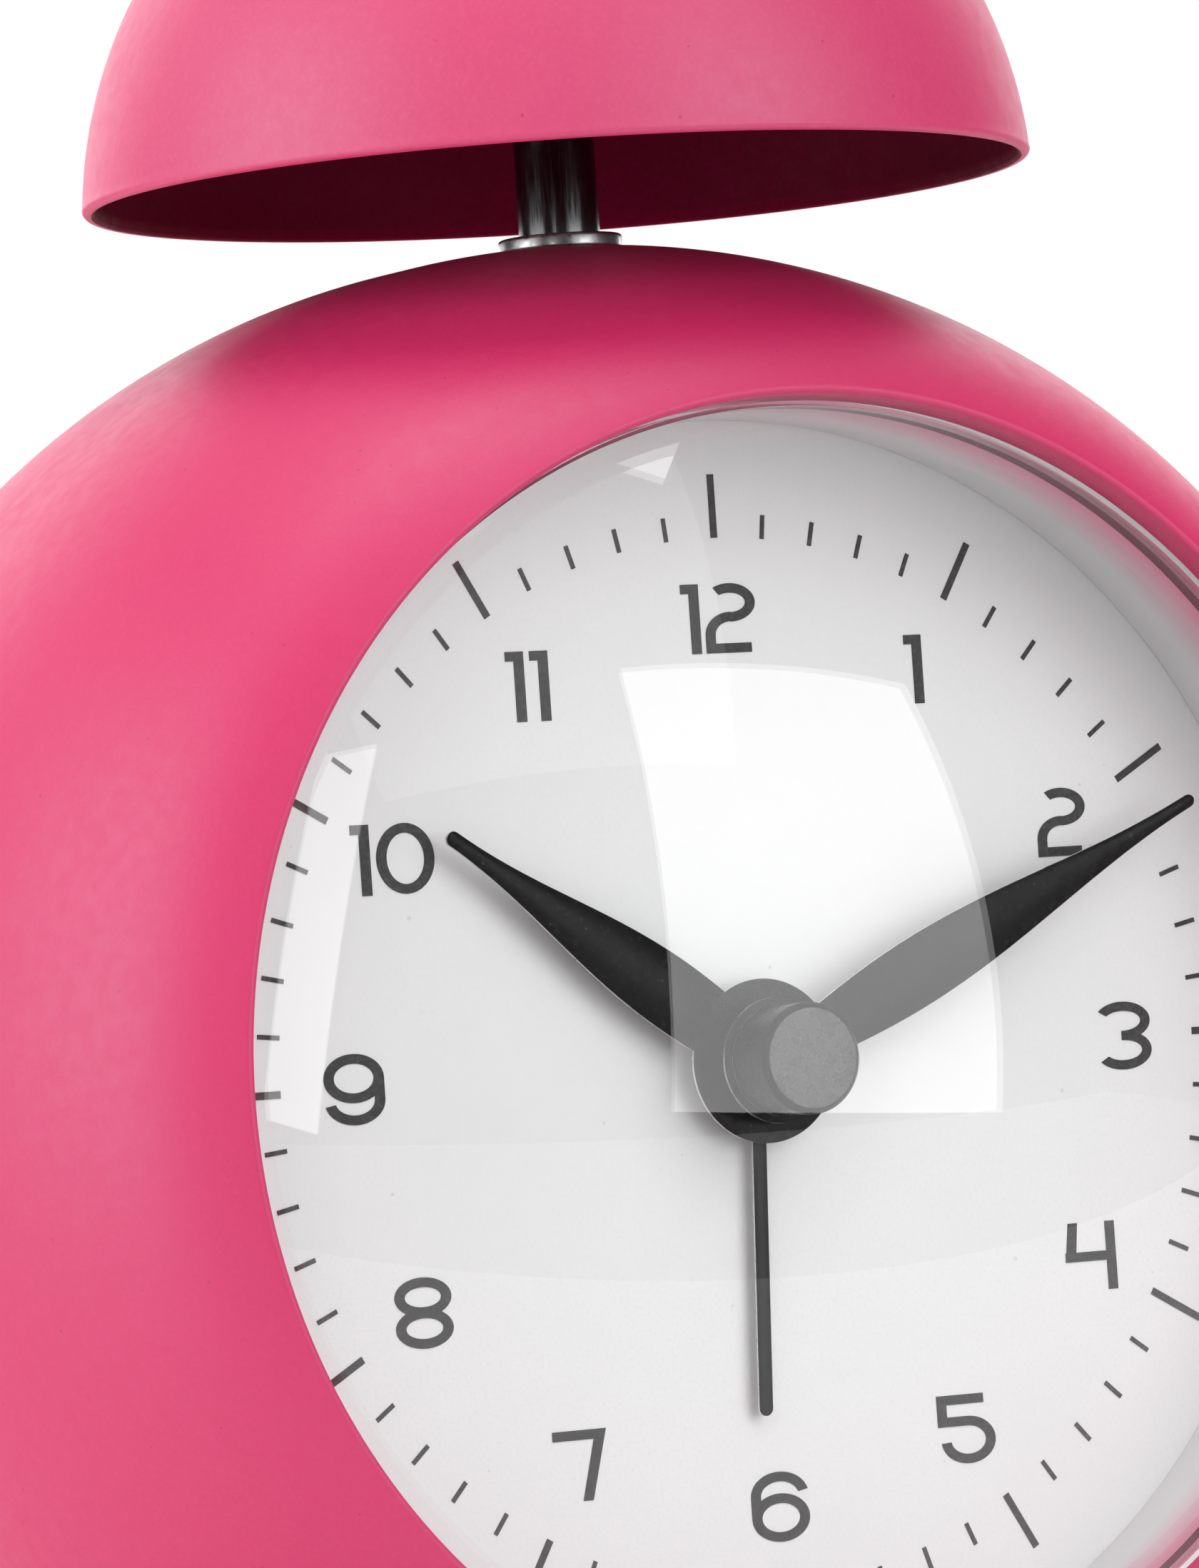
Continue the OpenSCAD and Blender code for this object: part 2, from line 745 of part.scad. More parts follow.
module rear_cover() {
    color([0.8, 0.18, 0.4]) difference() {
        union() {
            difference() {
                back_dome(cover_r, back_depth);
                difference() {
                    translate([0, band_half, centre_z]) sphere(r = cover_r - cover_wall);
                    front(-back_depth - 20) cylinder(r = case_r, h = 20 + cover_wall);
                }
            }
            front(-cover_seat - join) tube(rear_open_r - 0.2, rear_open_r - 1.8, 2.5 + join);
            intersection() {
                translate([0, band_half, centre_z]) sphere(r = cover_r - cover_wall / 2);
                bay_and_pillars();
            }
        }
        front(-back_depth - 1) translate([-bay_len / 2, bay_y - bay_h / 2, 0])
            cube([bay_len, bay_h, bay_depth + 1 - bay_wall]);
        door_recess();
        for (a = pillar_at) front(-back_depth - 1) translate(polar(pillar_dist, a)) {
            cylinder(r = 3.1, h = back_depth + 1 - screw_head_back);
            cylinder(r = screw_r + 0.2, h = back_depth + 20);
        }
        for (at = [time_set_at, alarm_set_at]) front(-back_depth - 1)
            translate(at) cylinder(r = shaft_r + run_gap, h = 5);
        front(-back_depth - 1) translate([-switch_travel / 2 - 2.7, switch_y - 2.2, 0])
            cube([switch_travel + 5.4, 4.4, 5]);
    }
}

// Walls of the battery bay and the screw pillars that reach forward to the carrier
module bay_and_pillars() {
    root = back_depth - cover_wall / 2;
    front(-root) {
        translate([-bay_len / 2 - bay_wall, bay_y - bay_h / 2 - bay_wall, 0])
            cube([bay_len + 2 * bay_wall, bay_h + 2 * bay_wall, bay_depth - cover_wall / 2]);
        for (a = pillar_at) translate(polar(pillar_dist, a))
            cylinder(r = pillar_r, h = root + carrier_back - boss_len);
    }
}

// Recess of the battery door, its finger notch and its pin sockets
module door_recess() {
    gap = 0.2;
    front(-back_depth - 1) translate([-door_len / 2 - gap, door_axis_y - door_t / 2 - gap, 0])
        cube([door_len + 2 * gap, door_top - door_axis_y + door_t / 2 + 2 * gap, door_t + 1.1]);
    front(-back_depth - 1) translate([0, door_top, 0]) cylinder(r = 4, h = door_t + 1.1);
    front(-door_axis_back) translate([0, door_axis_y, 0]) rotate([0, 90, 0])
        cylinder(r = 0.55 + run_gap, h = door_len + 3, center = true, $fn = 32);
}

module cover_screws() {
    len = carrier_back - boss_len + 7;
    color([0.7, 0.71, 0.73]) for (a = pillar_at)
        front(screw_head_back - 1.6) translate(polar(pillar_dist, a)) difference() {
            union() {
                cylinder(r = 2.8, h = 1.6);
                cylinder(r = screw_r, h = len);
            }
            translate([0, 0, 0.3]) cube([3.6, 0.7, 1.6], center = true);
            translate([0, 0, 0.3]) cube([0.7, 3.6, 1.6], center = true);
        }
}

module battery_door() {
    color([0.76, 0.17, 0.38]) {
        front(-back_depth) translate([-door_len / 2, door_axis_y, 0])
            cube([door_len, door_top - door_axis_y, door_t]);
        front(-door_axis_back) translate([0, door_axis_y, 0]) rotate([0, 90, 0]) {
            cylinder(r = door_t / 2, h = door_len, center = true);
            cylinder(r = 0.55, h = door_len + 2.4, center = true, $fn = 32);
        }
    }
}

module battery() {
    color([0.2, 0.22, 0.25]) front(-cell_back) translate([-bay_len / 2 + 2.9, bay_y, 0])
        rotate([0, 90, 0]) {
            cylinder(r = cell_r, h = cell_len);
            cylinder(r = 2.7, h = cell_len + 1.2);
        }
}

module battery_contact() {
    color([0.8, 0.81, 0.83]) front(-cell_back - 5) translate([bay_len / 2 - 0.5, bay_y - 5, 0])
        cube([0.4, 10, 12]);
}

// Conical coil spring: a round wire swept along a tightening turn
module battery_spring() {
    turns = 3;
    rings = 36;
    sides = 8;
    wire_r = 0.3;
    len = 2;
    points = [for (i = [0 : rings], k = [0 : sides - 1])
        let (u = i / rings, a = 360 * turns * u, r = 4 - 2 * u + wire_r * cos(360 * k / sides))
        [wire_r * sin(360 * k / sides) + len * u, r * cos(a), r * sin(a)]];
    faces = concat(
        [[for (k = [sides - 1 : -1 : 0]) k]],
        [for (i = [0 : rings - 1], k = [0 : sides - 1]) let (n = (k + 1) % sides)
            [i * sides + k, i * sides + n, (i + 1) * sides + n, (i + 1) * sides + k]],
        [[for (k = [0 : sides - 1]) rings * sides + k]]);
    color([0.8, 0.81, 0.83]) {
        front(-cell_back) translate([-bay_len / 2 + 0.55, bay_y, 0])
            polyhedron(points, faces);
        front(-cell_back - 5) translate([-bay_len / 2 + 0.05, bay_y - 5, 0]) cube([0.3, 10, 11]);
    }
}

module alarm_switch() {
    rest_x = -switch_travel / 2;
    color([0.15, 0.15, 0.16]) {
        front(-back_depth - 1.6) translate([rest_x - 2.5, switch_y - 2, 0]) cube([5, 4, 4]);
        front(-back_depth + cover_wall + 0.1) translate([rest_x - 5, switch_y - 4, 0])
            cube([10, 8, 1]);
    }
}

module switch_base() {
    color([0.2, 0.2, 0.22]) front(-back_depth + cover_wall + 1.2)
        translate([-9, switch_y - 5, 0]) cube([18, 10, 4]);
}

// ---- Bell and striker ----

module post_collar() {
    color([0.7, 0.71, 0.73]) on_post(collar_seat) tube(collar_r, post_r, collar_top - collar_seat);
}

module bell_post() {
    color([0.25, 0.26, 0.28]) on_post(0) difference() {
        union() {
            translate([0, 0, post_low]) cylinder(r = post_r, h = shoulder - post_low);
            translate([0, 0, shoulder - 1]) cylinder(r = 2.4, h = post_top - shoulder + 1);
        }
        translate([0, 0, post_low - 1]) cylinder(r = post_bore, h = post_top);
    }
}

module post_washer() {
    color([0.75, 0.76, 0.78]) on_post(washer_low) tube(5, post_r, 0.4);
}

module post_nut() {
    color([0.7, 0.71, 0.73]) on_post(washer_low - 3) hex_nut(9, post_r, 3);
}

module bell() {
    color([0.87, 0.22, 0.45]) intersection() {
        on_post(bell_centre) difference() {
            sphere(r = bell_r, $fn = 180);
            sphere(r = bell_inside, $fn = 180);
        }
        on_post(bell_rim) cylinder(r = 2 * bell_r, h = 2 * bell_r);
    }
}

module bell_boss() {
    color([0.7, 0.71, 0.73]) difference() {
        intersection() {
            on_post(boss_low) cylinder(r = 5, h = 10);
            on_post(bell_centre) sphere(r = bell_inside, $fn = 180);
        }
        on_post(boss_low - 1) cylinder(r = 2.4, h = post_top - boss_low + 1);
    }
}

module striker_plate() {
    color([0.75, 0.76, 0.78]) on_post(shoulder) difference() {
        union() {
            cylinder(r = 6, h = plate_t);
            translate(hammer_pivot) cylinder(r = 3, h = plate_t);
            translate(motor_at) cylinder(r = motor_r + 0.6, h = plate_t);
            linear_extrude(plate_t) line_stroke([0, 0], hammer_pivot, 6);
            linear_extrude(plate_t) line_stroke([0, 0], motor_at, 10);
        }
        translate([0, 0, -1]) cylinder(r = 2.4, h = 4);
        translate([hammer_pivot[0], hammer_pivot[1], -1]) cylinder(r = 0.9, h = 4);
    }
}

module striker_nut() {
    color([0.7, 0.71, 0.73]) on_post(plate_top) hex_nut(7, 2.4, 2.2);
}

module striker_motor() {
    color([0.6, 0.61, 0.63]) on_post(plate_top) translate(motor_at)
        tube(motor_r, 0.5 + run_gap, motor_h);
}

module striker_cam() {
    color([0.85, 0.85, 0.8]) on_post(plate_top + motor_h) translate(motor_at) {
        translate([0, 0, -5]) cylinder(r = 0.5, h = 7.2);
        translate([cam_throw, 0, 0.4]) cylinder(r = cam_r, h = 1.8);
    }
}

module hammer_pin() {
    arm_top = arm_low + arm_t - shoulder;
    color([0.75, 0.76, 0.78]) on_post(shoulder) translate(hammer_pivot) {
        cylinder(r = 0.9, h = arm_top + 0.4);
        translate([0, 0, plate_t]) cylinder(r = 1.6, h = arm_low - plate_top - run_gap);
        translate([0, 0, arm_top + run_gap]) cylinder(r = 1.6, h = 0.5);
    }
}

module hammer_arm() {
    reach = head_at - hammer_pivot;
    neck = hammer_pivot + reach * (1 - (head_r - 0.4) / norm(reach));
    color([0.75, 0.76, 0.78]) on_post(arm_low) difference() {
        union() {
            translate(hammer_pivot) cylinder(r = 2.2, h = arm_t);
            linear_extrude(arm_t) {
                line_stroke(hammer_pivot, neck, arm_w);
                line_stroke(hammer_pivot, hammer_tail, arm_w);
            }
        }
        translate([hammer_pivot[0], hammer_pivot[1], -1]) cylinder(r = 0.9 + run_gap, h = 4);
    }
}

module hammer_head() {
    color([0.8, 0.7, 0.4]) on_post(arm_low + arm_t / 2) translate([head_at[0], head_at[1], 0])
        difference() {
            sphere(r = head_r);
            rotate(atan2(hammer_pivot[1] - head_at[1], hammer_pivot[0] - head_at[0]))
                translate([head_r - 0.4, -arm_w / 2, -arm_t / 2]) cube([2, arm_w, arm_t]);
        }
}

case_shell();
lens();
dial_ring();
dial_plate();
dial_print();
dial_carrier();
hour_hand();
minute_hand();
alarm_hand();
hand_cap();
minute_arbor();
centre_wheel();
hour_wheel();
alarm_wheel();
minute_wheel();
third_wheel();
seconds_wheel();
rotor();
alarm_idler();
wheel_pins();
time_set_shaft();
alarm_set_shaft();
time_set_knob();
alarm_set_knob();
movement_front();
movement_back();
movement_screws();
circuit_board();
coil();
stator();
alarm_contact();
rear_cover();
cover_screws();
battery_door();
battery();
battery_contact();
battery_spring();
alarm_switch();
switch_base();
base_pad();
post_collar();
bell_post();
post_washer();
post_nut();
bell();
bell_boss();
striker_plate();
striker_nut();
striker_motor();
striker_cam();
hammer_pin();
hammer_arm();
hammer_head();
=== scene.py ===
"""Round single-bell alarm clock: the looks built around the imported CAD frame.

Lengths are metres, +Z is up and the dial faces -Y. "Forward" means towards -Y, measured
from the centre of the ball-shaped case.
"""

import json
from math import acos, asin, atan2, cos, degrees, pi, radians, sin, sqrt

import bmesh
import bpy
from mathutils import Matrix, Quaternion, Vector


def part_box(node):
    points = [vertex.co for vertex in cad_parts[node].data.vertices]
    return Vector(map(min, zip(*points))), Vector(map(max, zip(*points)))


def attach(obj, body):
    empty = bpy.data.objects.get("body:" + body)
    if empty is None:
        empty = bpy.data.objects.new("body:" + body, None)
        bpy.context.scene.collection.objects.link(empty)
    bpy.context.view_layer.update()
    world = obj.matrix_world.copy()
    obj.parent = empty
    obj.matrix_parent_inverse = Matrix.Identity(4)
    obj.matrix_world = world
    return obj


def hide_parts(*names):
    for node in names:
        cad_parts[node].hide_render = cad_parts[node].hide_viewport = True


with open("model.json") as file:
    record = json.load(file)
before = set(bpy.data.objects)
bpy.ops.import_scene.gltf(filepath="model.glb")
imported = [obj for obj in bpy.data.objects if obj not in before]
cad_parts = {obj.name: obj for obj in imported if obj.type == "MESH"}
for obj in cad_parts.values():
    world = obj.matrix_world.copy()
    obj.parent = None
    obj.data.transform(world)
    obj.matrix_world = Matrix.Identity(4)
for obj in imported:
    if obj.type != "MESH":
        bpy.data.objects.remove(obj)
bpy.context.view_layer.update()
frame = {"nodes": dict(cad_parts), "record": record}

MM = 0.001
RECORD = frame["record"]
BODY_OF = {node: body for body, nodes in RECORD["behaviour"]["bodies"].items() for node in nodes}
SLOT_OF = {part["node"]: part["material_slot"] for part in RECORD["subparts"]}


# ---- Measures read from the frame ----

def low(node):
    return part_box(node)[0]


def high(node):
    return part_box(node)[1]


ON_AXIS = 1e-7
CASE_R = high("case_shell").x
CENTRE = Vector((0, 0, high("case_shell").z - CASE_R))
CENTRE_Z = CENTRE.z
BAND_HALF = 2.2 * MM
CASE_WALL = 1.0 * MM
LIP_R = 1.3 * MM
APERTURE_R = 42.2 * MM
REAR_OPEN_R = 46.5 * MM
LENS_T = 1.5 * MM
LENS_SEAT = -low("dial_ring").y + LENS_T
LENS_SKIRT = 2.5 * MM
DOME_BASE = LENS_SEAT + LENS_SKIRT
DOME_T = 1.2 * MM
SKIRT_T = 0.6 * MM
LENS_GAP = 0.3 * MM
RING_BASE_R = 41.4 * MM
RING_TOP_R = 41.9 * MM
EDGE_R = 0.35 * MM
EDGE_FWD = 34.0 * MM
BROW_R = 18 * MM
BELL_WALL = 0.9 * MM
POST_NECK_R = 2.4 * MM
POST_BORE_R = 1.6 * MM
ARBOR_R = 1.2 * MM
SET_SHAFT_R = 1.5 * MM
POST_Y = (low("bell_post").y + high("bell_post").y) / 2


# ---- Camera at the photograph's angle ----

CAMERA_AZIMUTH = -28.65
CAMERA_ELEVATION = 0.19
CAMERA_DISTANCE = 573.9 * MM
CAMERA_ROLL = -3.92
CAMERA_LENS = 196.7
SENSOR_WIDTH = 36
AIM = CENTRE + Vector((1.41, -1.05, 19.18)) * MM


def direction(azimuth, elevation):
    """Unit vector from the object towards an azimuth (0 in front, -90 at -X) and elevation."""
    a = radians(azimuth)
    e = radians(elevation)
    return Vector((sin(a) * cos(e), -cos(a) * cos(e), sin(e)))


def make_camera():
    data = bpy.data.cameras.new("camera")
    data.lens = CAMERA_LENS
    data.sensor_width = SENSOR_WIDTH
    data.clip_start = 0.01
    camera = bpy.data.objects.new("camera", data)
    camera.location = CENTRE + CAMERA_DISTANCE * direction(CAMERA_AZIMUTH, CAMERA_ELEVATION)
    aim = (AIM - camera.location).to_track_quat("-Z", "Y")
    camera.rotation_mode = "QUATERNION"
    camera.rotation_quaternion = aim @ Quaternion((0, 0, 1), radians(CAMERA_ROLL))
    bpy.context.scene.collection.objects.link(camera)
    bpy.context.scene.camera = camera


make_camera()


# ---- Materials ----

SPOT_R = 0.28       # of a cell
MIX_A, MIX_B = 6, 7     # colour sockets of a Mix node
MIX_RESULT = 2


class Look:
    """A node material with one Principled shader, built up from procedural detail."""

    def __init__(self, name, colour, roughness=0.5, metallic=0.0, **sockets):
        self.material = bpy.data.materials.new(name)
        self.material.use_nodes = True
        self.tree = self.material.node_tree
        self.shader = self.tree.nodes["Principled BSDF"]
        self.colour = colour
        self.set("Base Color", (*colour, 1))
        self.set("Roughness", roughness)
        self.set("Metallic", metallic)
        for socket, value in sockets.items():
            self.set(socket.replace("_", " "), value)
        self.place = self.node("ShaderNodeTexCoord").outputs["Object"]
        self.normal = None

    def set(self, socket, value):
        self.shader.inputs[socket].default_value = value

    def node(self, kind, **settings):
        made = self.tree.nodes.new(kind)
        for key, value in settings.items():
            setattr(made, key, value)
        return made

    def link(self, source, target):
        self.tree.links.new(source, target)

    def stretched(self, scale):
        """Object coordinates scaled by (x, y, z), for grain that runs one way."""
        mapping = self.node("ShaderNodeMapping")
        mapping.inputs["Scale"].default_value = scale
        self.link(self.place, mapping.inputs["Vector"])
        return mapping.outputs["Vector"]

    def noise(self, size, detail=3.0, place=None):
        """Noise whose features are about size metres across."""
        made = self.node("ShaderNodeTexNoise")
        made.inputs["Scale"].default_value = 1 / size
        made.inputs["Detail"].default_value = detail
        self.link(place or self.place, made.inputs["Vector"])
        return made.outputs["Fac"]

    def spots(self, size, share):
        """1 in a round spot in about that share of the cells, which are size metres wide."""
        cells = self.node("ShaderNodeTexVoronoi")
        cells.inputs["Scale"].default_value = 1 / size
        self.link(self.place, cells.inputs["Vector"])
        split = self.node("ShaderNodeSeparateColor")
        self.link(cells.outputs["Color"], split.inputs["Color"])
        chosen = self.node("ShaderNodeMath", operation="LESS_THAN")
        chosen.inputs[1].default_value = share
        self.link(split.outputs["Red"], chosen.inputs[0])
        near = self.node("ShaderNodeMath", operation="LESS_THAN")
        near.inputs[1].default_value = SPOT_R
        self.link(cells.outputs["Distance"], near.inputs[0])
        both = self.node("ShaderNodeMath", operation="MULTIPLY")
        self.link(chosen.outputs[0], both.inputs[0])
        self.link(near.outputs[0], both.inputs[1])
        return both.outputs[0]

    def spread(self, value, low_out, high_out, low_in=0.3, high_in=0.7):
        """Maps a noise value to a range."""
        made = self.node("ShaderNodeMapRange")
        made.inputs["From Min"].default_value = low_in
        made.inputs["From Max"].default_value = high_in
        made.inputs["To Min"].default_value = low_out
        made.inputs["To Max"].default_value = high_out
        self.link(value, made.inputs["Value"])
        return made.outputs["Result"]

    def tint(self, value, other, low_in=0.3, high_in=0.7):
        """Mixes the colour so far towards another where value is high."""
        made = self.node("ShaderNodeMix", data_type="RGBA")
        self.link(self.spread(value, 0, 1, low_in, high_in), made.inputs["Factor"])
        base = self.shader.inputs["Base Color"]
        if base.is_linked:
            self.link(base.links[0].from_socket, made.inputs[MIX_A])
        else:
            made.inputs[MIX_A].default_value = (*self.colour, 1)
        made.inputs[MIX_B].default_value = (*other, 1)
        self.link(made.outputs[MIX_RESULT], base)
        return self

    def rough(self, value, low_out, high_out):
        self.link(self.spread(value, low_out, high_out), self.shader.inputs["Roughness"])
        return self

    def bump(self, value, depth, strength=1.0):
        """Raises the surface by up to depth metres where value is high."""
        made = self.node("ShaderNodeBump")
        made.inputs["Strength"].default_value = strength
        made.inputs["Distance"].default_value = depth
        self.link(value, made.inputs["Height"])
        if self.normal:
            self.link(self.normal, made.inputs["Normal"])
        self.normal = made.outputs["Normal"]
        self.link(self.normal, self.shader.inputs["Normal"])
        return self


def lacquer(name, painted_sheen=1.0):
    """Matte powder-fine pink lacquer on pressed metal. The second argument, above 1, makes a
    paler copy whose paleness is painted sheen.
    """
    look = Look(name, (0.78, 0.021 * painted_sheen, 0.143 * painted_sheen ** 0.25), 0.5,
                Specular_IOR_Level=0.95, Specular_Tint=(0.3, 0.95, 1.0, 1))
    look.tint(look.noise(14 * MM, 2), (0.765, 0.020 * painted_sheen, 0.138 * painted_sheen ** 0.25))
    look.tint(look.noise(0.35 * MM, 2), (0.80, 0.026 * painted_sheen, 0.157 * painted_sheen ** 0.25), 0.45, 0.8)
    look.tint(look.spots(0.4 * MM, 0.004), (0.6, 0.02, 0.11), 0.5, 1.0)
    look.rough(look.noise(1.2 * MM), 0.46, 0.54)
    look.bump(look.noise(0.3 * MM, 2), 0.02 * MM, 0.45)
    return look.material


def moulded(name, colour, deeper, roughness=0.5, grain=0.3 * MM):
    """Moulded plastic with a fine spark-eroded grain."""
    look = Look(name, colour, roughness)
    look.tint(look.noise(12 * MM, 2), deeper)
    look.rough(look.noise(2 * MM), roughness - 0.06, roughness + 0.08)
    look.bump(look.noise(grain, 2), 0.015 * MM, 0.6)
    look.bump(look.noise(9 * MM, 1), 0.05 * MM, 0.15)
    return look.material


def metal(name, colour, roughness, along=(1, 1, 1), dull=0.8):
    """Plated or turned metal with fine marks that run along the scaled directions."""
    look = Look(name, colour, roughness, 1.0)
    darker = tuple(c * dull for c in colour)
    look.tint(look.noise(2.5 * MM, 4), darker)
    grain = look.noise(0.5 * MM, 4, look.stretched(along))
    look.rough(grain, roughness * 0.7, roughness * 1.35)
    look.bump(grain, 0.01 * MM, 0.5)
    return look.material


def crystal():
    """Clear moulded lens that lets lamp light through to the dial."""
    look = Look("crystal", (1, 1, 1), 0.0, IOR=1.49, Transmission_Weight=1.0)
    look.rough(look.noise(6 * MM, 3), 0.0, 0.012)
    look.bump(look.noise(14 * MM, 1), 0.02 * MM, 0.3)
    clear = look.node("ShaderNodeBsdfTransparent")
    clear.inputs["Color"].default_value = (0.96, 0.965, 0.965, 1)
    path = look.node("ShaderNodeLightPath")
    either = look.node("ShaderNodeMixShader")
    look.link(path.outputs["Is Shadow Ray"], either.inputs["Fac"])
    look.link(look.shader.outputs["BSDF"], either.inputs[1])
    look.link(clear.outputs["BSDF"], either.inputs[2])
    look.link(either.outputs["Shader"], look.tree.nodes["Material Output"].inputs["Surface"])
    return look.material


def dial_paint():
    look = Look("dial_paint", (0.80, 0.812, 0.81), 0.55)
    look.tint(look.noise(25 * MM, 2), (0.77, 0.782, 0.785))
    look.tint(look.noise(0.25 * MM, 2), (0.74, 0.752, 0.755), 0.5, 0.85)
    look.tint(look.spots(0.5 * MM, 0.002), (0.66, 0.66, 0.67), 0.5, 1.0)
    look.rough(look.noise(1.5 * MM), 0.5, 0.62)
    look.bump(look.noise(0.25 * MM, 2), 0.008 * MM, 0.4)
    return look.material


def ink():
    look = Look("ink", (0.022, 0.022, 0.023), 0.6)
    look.tint(look.noise(0.3 * MM, 3), (0.055, 0.055, 0.056), 0.45, 0.75)
    look.rough(look.noise(0.4 * MM), 0.5, 0.7)
    look.bump(look.noise(0.15 * MM, 2), 0.01 * MM, 0.5)
    return look.material


def hand_enamel():
    """Glossy black enamel on the pressed hands, with settled dust."""
    look = Look("hand_black", (0.005, 0.005, 0.006), 0.28, Specular_IOR_Level=0.13)
    look.tint(look.noise(0.5 * MM, 4), (0.009, 0.009, 0.010), 0.4, 0.75)
    look.tint(look.spots(0.35 * MM, 0.012), (0.04, 0.04, 0.04), 0.5, 1.0)
    look.rough(look.noise(0.8 * MM), 0.2, 0.3)
    look.bump(look.noise(0.35 * MM, 3), 0.004 * MM, 0.4)
    return look.material


def bell_inside():
    """Dark colour on the bell's inner faces: painted shade for the dark inside of the bell."""
    look = Look("bell_inside", (0.17, 0.003, 0.035), 0.6, Specular_IOR_Level=0.08)
    look.tint(look.noise(6 * MM, 2), (0.155, 0.003, 0.031))
    look.tint(look.noise(0.4 * MM, 2), (0.2, 0.004, 0.044), 0.45, 0.8)
    look.rough(look.noise(1.2 * MM), 0.5, 0.66)
    look.bump(look.noise(0.3 * MM, 2), 0.02 * MM, 0.5)
    return look.material


def copper_winding():
    look = Look("copper", (0.72, 0.3, 0.13), 0.35, 1.0)
    turns = look.node("ShaderNodeTexWave", bands_direction="X")
    turns.inputs["Scale"].default_value = 1 / (1.2 * MM)
    look.link(look.place, turns.inputs["Vector"])
    look.tint(turns.outputs["Fac"], (0.5, 0.18, 0.07), 0.2, 0.9)
    look.rough(look.noise(0.8 * MM), 0.28, 0.45)
    look.bump(turns.outputs["Fac"], 0.06 * MM, 0.7)
    return look.material


def board():
    look = Look("board", (0.03, 0.2, 0.09), 0.35)
    tracks = look.node("ShaderNodeTexBrick")
    tracks.inputs["Scale"].default_value = 1 / (6 * MM)
    tracks.inputs["Mortar Size"].default_value = 0.06
    look.link(look.place, tracks.inputs["Vector"])
    look.tint(tracks.outputs["Fac"], (0.06, 0.32, 0.15), 0.2, 0.8)
    look.tint(look.spots(1.5 * MM, 0.2), (0.6, 0.5, 0.3), 0.5, 1.0)
    look.rough(look.noise(1 * MM), 0.28, 0.42)
    look.bump(tracks.outputs["Fac"], 0.03 * MM, 0.6)
    return look.material


def ring_plastic():
    """Satin white ring, tinted pink on the side by the lens as a painted reflection of the
    case's pink wall.
    """
    look = Look("ring_plastic", (0.78, 0.78, 0.785), 0.4)
    look.tint(look.noise(12 * MM, 2), (0.74, 0.74, 0.745))
    split = look.node("ShaderNodeSeparateXYZ")
    look.link(look.place, split.inputs["Vector"])
    lens_side = low("dial_ring").y
    # Painted reflection: pink towards the lens side, for the case's pink wall mirrored in the
    # ring.
    look.tint(split.outputs["Y"], (0.76, 0.12, 0.27), lens_side + 4.5 * MM, lens_side - 1.5 * MM)
    look.rough(look.noise(2 * MM), 0.34, 0.48)
    look.bump(look.noise(0.3 * MM, 2), 0.012 * MM, 0.5)
    return look.material


def cell_wrap():
    """Plain shrink sleeve of a battery cell, dark with a copper-coloured end band."""
    look = Look("cell_wrap", (0.02, 0.022, 0.026), 0.25)
    split = look.node("ShaderNodeSeparateXYZ")
    look.link(look.place, split.inputs["Vector"])
    lo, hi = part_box("battery")
    band = hi.x - 0.28 * (hi.x - lo.x)
    look.tint(split.outputs["X"], (0.62, 0.3, 0.1), band, band + 0.1 * MM)
    look.rough(look.noise(3 * MM), 0.18, 0.32)
    look.bump(look.noise(4 * MM, 2), 0.03 * MM, 0.3)
    return look.material


def floor_look():
    look = Look("floor", (0.86, 0.86, 0.86), 0.6)
    look.tint(look.noise(0.4, 3), (0.83, 0.83, 0.83))
    look.bump(look.noise(2 * MM, 3), 0.02 * MM, 0.4)
    return look.material


SKIN = {
    "lacquer": lacquer("lacquer"),
    # The bell's copy of the lacquer is paler: painted sheen for the light on the bell.
    "bell_lacquer": lacquer("bell_lacquer", 2.6),
    "back_plastic": moulded("back_plastic", (0.66, 0.046, 0.15), (0.6, 0.04, 0.135), 0.48),
    "crystal": crystal(),
    "ring_plastic": ring_plastic(),
    "dial_paint": dial_paint(),
    "ink": ink(),
    "hand_black": hand_enamel(),
    "black_plastic": moulded("black_plastic", (0.03, 0.03, 0.032), (0.038, 0.038, 0.04), 0.48),
    "grey_plastic": moulded("grey_plastic", (0.10, 0.10, 0.11), (0.13, 0.13, 0.14), 0.5),
    "gear_plastic": moulded("gear_plastic", (0.78, 0.76, 0.68), (0.72, 0.70, 0.62), 0.35),
    "brass": metal("brass", (0.80, 0.58, 0.24), 0.28),
    "zinc_steel": metal("zinc_steel", (0.60, 0.61, 0.62), 0.32, dull=0.7),
    "dark_chrome": metal("dark_chrome", (0.2, 0.21, 0.215), 0.18, (4, 4, 0.25), dull=0.6),
    "board": board(),
    "copper": copper_winding(),
    "rubber": moulded("rubber", (0.018, 0.018, 0.018), (0.03, 0.03, 0.03), 0.8, 0.6 * MM),
    "cell_wrap": cell_wrap(),
}
# Painted shade for the inside of the bell.
BELL_INSIDE_PAINTED_SHADE = bell_inside()
CUT_EDGE = metal("cut_edge", (0.78, 0.78, 0.79), 0.3)
# Painted highlight on the cap's foot.
CAP_FOOT_PAINTED_HIGHLIGHT = metal("cap_foot_painted_highlight", (0.14, 0.14, 0.145), 0.3)
# Paler cap face: painted light.
CAP_FACE_PAINTED_LIGHT = metal("cap_face_painted_light", (0.068, 0.068, 0.07), 0.26, dull=0.95)


# ---- Mesh helpers ----

def arc(cu, cv, r, start, end, steps):
    """Points on an arc about (cu, cv), from one angle to another in degrees, ends included."""
    angles = [radians(start + (end - start) * i / steps) for i in range(steps + 1)]
    return [(cu + r * cos(a), cv + r * sin(a)) for a in angles]


def facing(centre_x=0.0, centre_z=CENTRE_Z):
    """Places (radius, forward, turn) about an axis that runs forward."""
    def place(r, forward, turn):
        return (centre_x + r * sin(turn), -forward, centre_z + r * cos(turn))
    return place


def standing(x=0.0, y=POST_Y):
    """Places (radius, height, turn) about an upright axis."""
    def place(r, height, turn):
        return (x + r * cos(turn), y + r * sin(turn), height)
    return place


